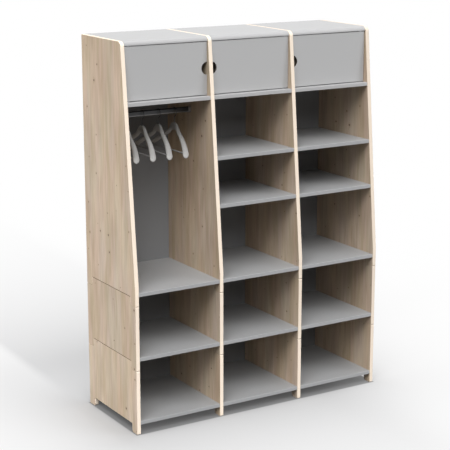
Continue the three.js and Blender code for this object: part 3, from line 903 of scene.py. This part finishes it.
def grey_lacquer(name, tint, roughness, notch_rim_shade=(0, 0, 0)):
    """A smooth satin lacquer on board, paler in patches along its rounded edges, with painted shade
    on the rim of a notch.
    """
    cloud_scale, speckle_scale, arris_patch_scale, peel_scale = 5, 700, 60, 260
    cloud_tone, speckle_tone, arris_paling_tone = 0.02, 0.02, 0.08
    shade = Shade(bpy.data.materials.new(name))
    cloud = shade.noise(cloud_scale)
    speckle = shade.noise(speckle_scale)
    # Paler in patches along the rounded edges
    arris_patches = shade.step(shade.noise(arris_patch_scale, 3), 0.4, 0.7)
    arris_paling = shade.attribute("arris") * arris_patches
    tone = 0.985 + cloud_tone * cloud + speckle_tone * (speckle - 0.5) + arris_paling_tone * arris_paling
    orange_peel = shade.noise(peel_scale, 1)
    lacquer = shade.scaled(tint, tone)
    return shade.surface(**{
        # Painted shade on the notch's rim
        "Base Color": shade.mix(shade.attribute("notch_rim"), lacquer, notch_rim_shade),
        "Roughness": roughness + 0.08 * (speckle - 0.5) + 0.05 * cloud,
        "Specular IOR Level": 0.35,
        "Normal": shade.bump(orange_peel, 0.05 * MM, 0.5),
    })


def fibre_board(name, tint):
    """The matt painted face of a thin back panel."""
    cloud_scale, grain_scale = 4, 480
    cloud_tone, grain_tone = 0.04, 0.05
    shade = Shade(bpy.data.materials.new(name))
    cloud = shade.noise(cloud_scale)
    grain = shade.noise(grain_scale, 3)
    return shade.surface(**{
        "Base Color": shade.scaled(tint, 0.96 + cloud_tone * cloud + grain_tone * (grain - 0.5)),
        "Roughness": 0.66 + 0.1 * (grain - 0.5),
        "Specular IOR Level": 0.15,
        "Normal": shade.bump(grain, 0.06 * MM, 0.5),
    })


def drawn_metal(name, tint, roughness, stretch, underside_highlight=None):
    """Metal with fine lines along the way that it was drawn or turned.

    A painted highlight is another, paler tint for its underside, and the heights between which the
    two blend.
    """
    cloud_scale = 30
    line_tone = 0.2
    shade = Shade(bpy.data.materials.new(name))
    lines = shade.grain(stretch)
    cloud = shade.noise(cloud_scale)
    # Painted highlight: the underside takes a paler tint
    if underside_highlight:
        highlight_tint, highlight_bottom, highlight_top = underside_highlight
        above_highlight = shade.step(shade.place().out("Z"), highlight_bottom, highlight_top)
        tint = shade.mix(above_highlight, highlight_tint, tint)
    return shade.surface(**{
        "Base Color": shade.scaled(tint, 0.9 + line_tone * lines),
        "Metallic": 1,
        "Roughness": roughness + 0.14 * (lines - 0.5) + 0.06 * cloud,
        "Normal": shade.bump(lines, 0.03 * MM, 0.4),
    })


def moulded_plastic(name, tint):
    """Matt moulded plastic with a fine spark-eroded texture."""
    texture_scale, cloud_scale = 900, 14
    cloud_tone, texture_tone = 0.08, 0.06
    shade = Shade(bpy.data.materials.new(name))
    texture = shade.noise(texture_scale)
    cloud = shade.noise(cloud_scale)
    tone = 0.96 + cloud_tone * (cloud - 0.5) + texture_tone * texture
    return shade.surface(**{
        "Base Color": shade.scaled(tint, tone),
        "Roughness": 0.46 + 0.1 * cloud,
        "Normal": shade.bump(texture, 0.06 * MM, 0.5),
    })


# Operators

def shapes_and_finishes(context):
    """The values of the wardrobe that the operators use."""
    return context.scene.wardrobe_shapes, context.scene.wardrobe_finishes


class WARDROBE_OT_side_panels(bpy.types.Operator):
    """Build the stacked wooden boards of the four uprights"""

    bl_idname = "wardrobe.side_panels"
    bl_label = "Side panels"

    def execute(self, context):
        shapes, finishes = shapes_and_finishes(context)
        for seed, (side, level) in enumerate(itertools.product(SIDE_PAINTED_LIGHT, LEVEL_PAINTED_LIGHT), 1):
            node = f"{side}_side_{level}_panel"
            low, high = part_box(node)
            middle_x = (low.x + high.x) / 2
            name = f"spruce_{side}_{level}"
            tone = LEVEL_PAINTED_LIGHT[level] * SIDE_PAINTED_LIGHT[side]
            finish = spruce(name, middle_x, seed, tone, EDGE_PAINTED_LIGHT[side], finishes)
            board = side_panel(node, level, shapes)
            name = f"{side}_side_{level}_board"
            new_piece(board, node, name, finish, shapes.upright_arris)
        return {"FINISHED"}


class WARDROBE_OT_shelves(bpy.types.Operator):
    """Build the open shelves of the three bays"""

    bl_idname = "wardrobe.shelves"
    bl_label = "Shelves"

    def execute(self, context):
        shapes, finishes = shapes_and_finishes(context)
        finish = grey_lacquer("shelf_lacquer", finishes.shaded_shelf_grey, 0.42)
        for bay, count in SHELVES_IN_BAY.items():
            for place in range(1, count + 1):
                node = f"{bay}_bay_shelf_{place}"
                board = cross_board(node, shapes, shapes.shelf_arris, shapes.shelf_arris)
                new_piece(board, node, f"{node}_board", finish)
        return {"FINISHED"}


class WARDROBE_OT_cabinet_boards(bpy.types.Operator):
    """Build the floors and tops of the three cabinets"""

    bl_idname = "wardrobe.cabinet_boards"
    bl_label = "Cabinet floors and tops"

    def execute(self, context):
        shapes, finishes = shapes_and_finishes(context)
        finish = grey_lacquer("cabinet_lacquer", finishes.grey_board, 0.42)
        for bay in BAYS:
            floor = f"{bay}_cabinet_floor"
            board = cross_board(floor, shapes, shapes.shelf_arris, shapes.shelf_arris)
            new_piece(board, floor, f"{floor}_board", finish)
            top = f"{bay}_top_panel"
            board = cross_board(top, shapes, shapes.top_nose, shapes.shelf_arris)
            new_piece(board, top, f"{top}_board", finish)
        return {"FINISHED"}


class WARDROBE_OT_back_panels(bpy.types.Operator):
    """Build the thin back panels of the three bays"""

    bl_idname = "wardrobe.back_panels"
    bl_label = "Back panels"

    def execute(self, context):
        shapes, finishes = shapes_and_finishes(context)
        finish = fibre_board("back_paint", finishes.back_board)
        for bay in BAYS:
            node = f"{bay}_back_panel"
            new_piece(cross_board(node, shapes), node, f"{node}_board", finish)
        return {"FINISHED"}


class WARDROBE_OT_doors(bpy.types.Operator):
    """Build the three doors with their finger notches"""

    bl_idname = "wardrobe.doors"
    bl_label = "Doors"

    def execute(self, context):
        shapes, finishes = shapes_and_finishes(context)
        finish = grey_lacquer("door_lacquer", finishes.door, 0.4, finishes.notch_rim_shade)
        for bay in BAYS:
            node = f"{bay}_door"
            board = door_board(node, HINGED_LEFT[bay], shapes)
            new_piece(board, node, f"{node}_board", finish)
        return {"FINISHED"}


class WARDROBE_OT_door_pivots(bpy.types.Operator):
    """Finish the pivots that the doors turn on, which keep their CAD shape"""

    bl_idname = "wardrobe.door_pivots"
    bl_label = "Door pivots"

    def execute(self, context):
        finishes = context.scene.wardrobe_finishes
        finish = drawn_metal("turned_steel", finishes.pivot, 0.3, (60, 60, 2400))
        for bay in BAYS:
            for end in ("lower", "upper"):
                pivot = frame["nodes"][f"{bay}_door_{end}_pivot"]
                for material_slot in pivot.material_slots:
                    material_slot.material = finish
        return {"FINISHED"}


class WARDROBE_OT_clothes_rail(bpy.types.Operator):
    """Build the clothes rail and its two sockets"""

    bl_idname = "wardrobe.clothes_rail"
    bl_label = "Clothes rail"

    def execute(self, context):
        shapes, finishes = shapes_and_finishes(context)
        node = "clothes_rail"
        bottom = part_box(node)[0].z
        underside_highlight = (finishes.rail_underside_highlight, bottom + HIGHLIGHT_START, bottom + HIGHLIGHT_END)
        finish = drawn_metal("satin_rail", finishes.rail, 0.38, (6, 900, 900), underside_highlight)
        new_piece(rail_tube(node, shapes), node, "clothes_rail_tube", finish)
        socket_finish = drawn_metal("socket_metal", finishes.socket, 0.42, (60, 900, 900))
        for side in ("left", "right"):
            node = f"rail_{side}_socket"
            cup = rail_socket(node, side == "left", shapes)
            new_piece(cup, node, f"rail_{side}_cup", socket_finish)
        return {"FINISHED"}


class WARDROBE_OT_hangers(bpy.types.Operator):
    """Build the hangers: their shoulders, hooks and bars"""

    bl_idname = "wardrobe.hangers"
    bl_label = "Hangers"

    def execute(self, context):
        shapes = context.scene.hanger_shapes
        finishes = context.scene.wardrobe_finishes
        plastic = moulded_plastic("hanger_plastic", finishes.hanger)
        dark_plastic = moulded_plastic("bar_plastic", finishes.bar)
        wire = drawn_metal("hook_wire_metal", finishes.hook, 0.28, (900, 60, 60))
        for hanger in HANGERS:
            name = f"hanger_{hanger}"
            body = hanger_shoulders(hanger, shapes)
            new_piece(body, f"{name}_shoulders", f"{name}_body", plastic)
            bar = trouser_bar(f"{name}_bar", shapes)
            new_piece(bar, f"{name}_bar", f"{name}_trouser_bar", dark_plastic)
            hook = hook_wire(hanger, shapes)
            new_piece(hook, f"{name}_hook", f"{name}_hook_wire", wire)
        return {"FINISHED"}


class WARDROBE_OT_stage(bpy.types.Operator):
    """Lay the floor, light the scene and set up the camera"""

    bl_idname = "wardrobe.stage"
    bl_label = "Stage"

    def execute(self, context):
        stage = context.scene.wardrobe_stage
        lay_floor(stage)
        light_room(stage)
        set_camera(stage)
        return {"FINISHED"}


def seen_directly(shade):
    """1 for rays that see the surroundings as they are: from the camera, a mirror or glass."""
    path = shade.add("LightPath")
    seen = path.out("Is Camera Ray") + path.out("Is Glossy Ray") + path.out("Is Transmission Ray")
    return seen.math("MINIMUM", 1)


def lay_floor(stage):
    """Lays a wide pale floor."""
    half_width = 30
    ground = bmesh.new()
    bmesh.ops.create_grid(ground, x_segments=4, y_segments=4, size=half_width)
    mesh = bpy.data.meshes.new("floor")
    ground.to_mesh(mesh)
    ground.free()
    mesh.materials.append(pale_floor(stage))
    link_object("floor", mesh)


def pale_floor(stage):
    """A matt floor that is greyest under the wardrobe, with a shadow painted under and close round
    it, and fades to white away from it.
    """
    grey_beside, grey_beneath = 0.886, 0.93
    sooner_right, later_behind = 0.93, 0.35
    paler_right, greyer_left, greyer_behind = 0.52, 0.24, 0.56
    paler_beneath_right = 0.12
    # Painted shadow: the floor's colour is darker under the wardrobe and close round it
    painted_shadow_beneath, painted_shadow_close = 0.45, 0.2
    beneath_margin, close_reach = 12 * MM, 35 * MM
    high = CAD_BOUNDS[1]
    shade = Shade(bpy.data.materials.new("pale_floor"))
    place = shade.place()
    beside = (place.out("X").math("ABSOLUTE") - high.x).math("MAXIMUM", 0)
    before = (place.out("Y").math("ABSOLUTE") - high.y).math("MAXIMUM", 0)
    distance = (beside * beside + before * before).math("SQRT")
    right = shade.step(place.out("X"), 0.35, 1)
    left = shade.step(place.out("X"), -high.x, -high.x - 0.1)
    behind = shade.step(place.out("Y"), 0.3, 1.1)
    beneath = 1 - shade.step(distance, 0, beneath_margin)
    haste = 1 + sooner_right * right + left - later_behind * behind
    nearness = (distance * haste / -stage.floor_fade).math("EXPONENT")
    greyness = 1 - paler_right * right + greyer_left * left + greyer_behind * behind
    greyness = grey_beside * greyness
    greyness = greyness + (grey_beneath - paler_beneath_right * right - greyness) * beneath
    seen = seen_directly(shade)
    fade = seen * (1 - greyness * nearness)
    bounce = (stage.floor_bounce,) * 3
    close = (distance / -close_reach).math("EXPONENT")
    # Painted shadow under and round the wardrobe
    floor_tint_with_painted_shadow = shade.scaled(stage.floor, 1 - painted_shadow_beneath * beneath - painted_shadow_close * close)
    tint = shade.mix(seen, bounce, floor_tint_with_painted_shadow)
    matt = shade.add("BsdfDiffuse", {}, {"Color": tint})
    white = shade.add("Emission", {}, {"Color": WHITE, "Strength": 1})
    shader = shade.add("MixShader", {}, {0: fade, 1: matt, 2: white})
    shade.add("OutputMaterial", {}, {"Surface": shader})
    return shade.owner


def light_room(stage):
    """A faint even sky, three wide soft suns in front and three soft lamps."""
    world = bpy.data.worlds.new("studio")
    bpy.context.scene.world = world
    shade = Shade(world)
    brightness = stage.sky + seen_directly(shade) * (1 - stage.sky)
    background = shade.add("Background", {}, {"Color": WHITE, "Strength": brightness})
    shade.add("OutputWorld", {}, {"Surface": background})
    for name, place in SUN_PLACES.items():
        soft_lamp(f"soft_{name}", "SUN", place, getattr(stage, name), angle=SUN_SPREAD)
    for name, (place, width) in LAMP_PLACES.items():
        watts = getattr(stage, name)
        soft_lamp(f"soft_{name}", "AREA", place, watts, shape="SQUARE", size=width)


def soft_lamp(name, kind, place, strength, **settings):
    """A lamp that shines from a place on the middle of the wardrobe."""
    lamp = bpy.data.lights.new(name, kind)
    lamp.energy = strength
    for setting, value in settings.items():
        setattr(lamp, setting, value)
    lit = link_object(name, lamp)
    lit.location = place
    lit.rotation_euler = (LAMP_TARGET - place).to_track_quat("-Z", "Y").to_euler()


def set_camera(stage):
    """The camera of the main view."""
    data = bpy.data.cameras.new("main_camera")
    data.lens = stage.lens
    camera = link_object("main_camera", data)
    camera.location = CAMERA_PLACE
    camera.rotation_euler = (math.pi / 2 - CAMERA_DOWNWARD, 0, -CAMERA_TO_THE_RIGHT)
    bpy.context.scene.camera = camera
    bpy.context.scene.view_settings.view_transform = "Standard"


class WARDROBE_PT_panel(bpy.types.Panel):
    """Lists the operators and the values that they use"""

    bl_idname = "WARDROBE_PT_panel"
    bl_label = "Wardrobe"
    bl_space_type = "VIEW_3D"
    bl_region_type = "UI"
    bl_category = "Wardrobe"

    def draw(self, context):
        for operator in OPERATORS:
            self.layout.operator(operator.bl_idname)
        for name in GROUPS:
            group = getattr(context.scene, name)
            self.layout.label(text=group.bl_rna.name)
            for key in group.__annotations__:
                self.layout.prop(group, key)


OPERATORS = (
    WARDROBE_OT_stage,
    WARDROBE_OT_side_panels,
    WARDROBE_OT_shelves,
    WARDROBE_OT_cabinet_boards,
    WARDROBE_OT_back_panels,
    WARDROBE_OT_doors,
    WARDROBE_OT_door_pivots,
    WARDROBE_OT_clothes_rail,
    WARDROBE_OT_hangers,
)

GROUPS = {
    "wardrobe_shapes": WardrobeShapes,
    "hanger_shapes": HangerShapes,
    "wardrobe_finishes": WardrobeFinishes,
    "wardrobe_stage": WardrobeStage,
}


def register():
    """Registers the groups of values, the operators and the panel."""
    for name, group in GROUPS.items():
        bpy.utils.register_class(group)
        setattr(bpy.types.Scene, name, PointerProperty(type=group))
    for operator in OPERATORS:
        bpy.utils.register_class(operator)
    bpy.utils.register_class(WARDROBE_PT_panel)


def unregister():
    """Takes back what was registered."""
    bpy.utils.unregister_class(WARDROBE_PT_panel)
    for operator in reversed(OPERATORS):
        bpy.utils.unregister_class(operator)
    for name, group in reversed(GROUPS.items()):
        delattr(bpy.types.Scene, name)
        bpy.utils.unregister_class(group)


def main():
    """Registers the add-on and builds everything."""
    register()
    bpy.ops.wardrobe.stage()
    bpy.ops.wardrobe.side_panels()
    bpy.ops.wardrobe.shelves()
    bpy.ops.wardrobe.cabinet_boards()
    bpy.ops.wardrobe.back_panels()
    bpy.ops.wardrobe.doors()
    bpy.ops.wardrobe.door_pivots()
    bpy.ops.wardrobe.clothes_rail()
    bpy.ops.wardrobe.hangers()


if __name__ == "__main__":
    main()
